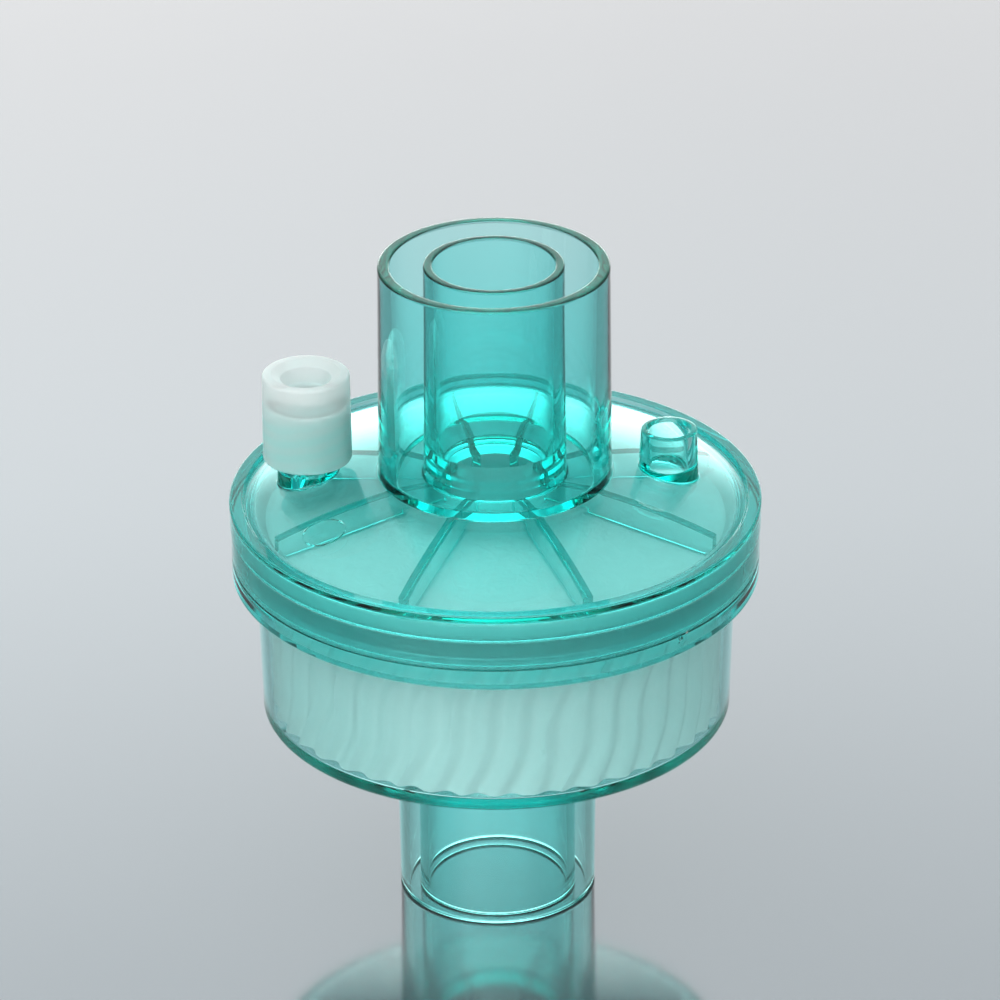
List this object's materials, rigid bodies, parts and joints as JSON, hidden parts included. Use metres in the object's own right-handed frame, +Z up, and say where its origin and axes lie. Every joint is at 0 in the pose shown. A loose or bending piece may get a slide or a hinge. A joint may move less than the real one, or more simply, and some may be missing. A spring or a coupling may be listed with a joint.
{
  "type": "breathing circuit filter",
  "caption": "Clear teal heat and moisture exchange filter: round housing, coaxial 22 mm and 15 mm ports top and bottom, paper roll inside, capped sampling port and a cap post.",
  "frame": {"origin": "centre of the patient port's end face, on the flow axis, at the bottom of the part", "axes": "+Z up along the flow axis towards the machine port, +X towards the parking post, -X towards the capped sampling port, -Y towards the camera"},
  "size_m": [0.058, 0.058, 0.0757],
  "materials": {
    "teal_clear": "polished clear teal moulding",
    "filter_fleece": "white non-woven fleece",
    "corrugated_paper": "matt off-white corrugated paper",
    "milky_plastic": "translucent milky moulding, satin"
  },
  "bodies": {
    "filter": {"machine_housing": "teal_clear", "patient_housing": "teal_clear", "filter_pad": "filter_fleece", "hme_roll": "corrugated_paper"},
    "cap": {"luer_cap": "milky_plastic"}
  },
  "joints": [
    {"name": "cap_lift", "type": "slide", "parent": "filter", "child": "cap", "axis": [0, 0, 1], "range_m": [0, 0.014]}
  ]
}
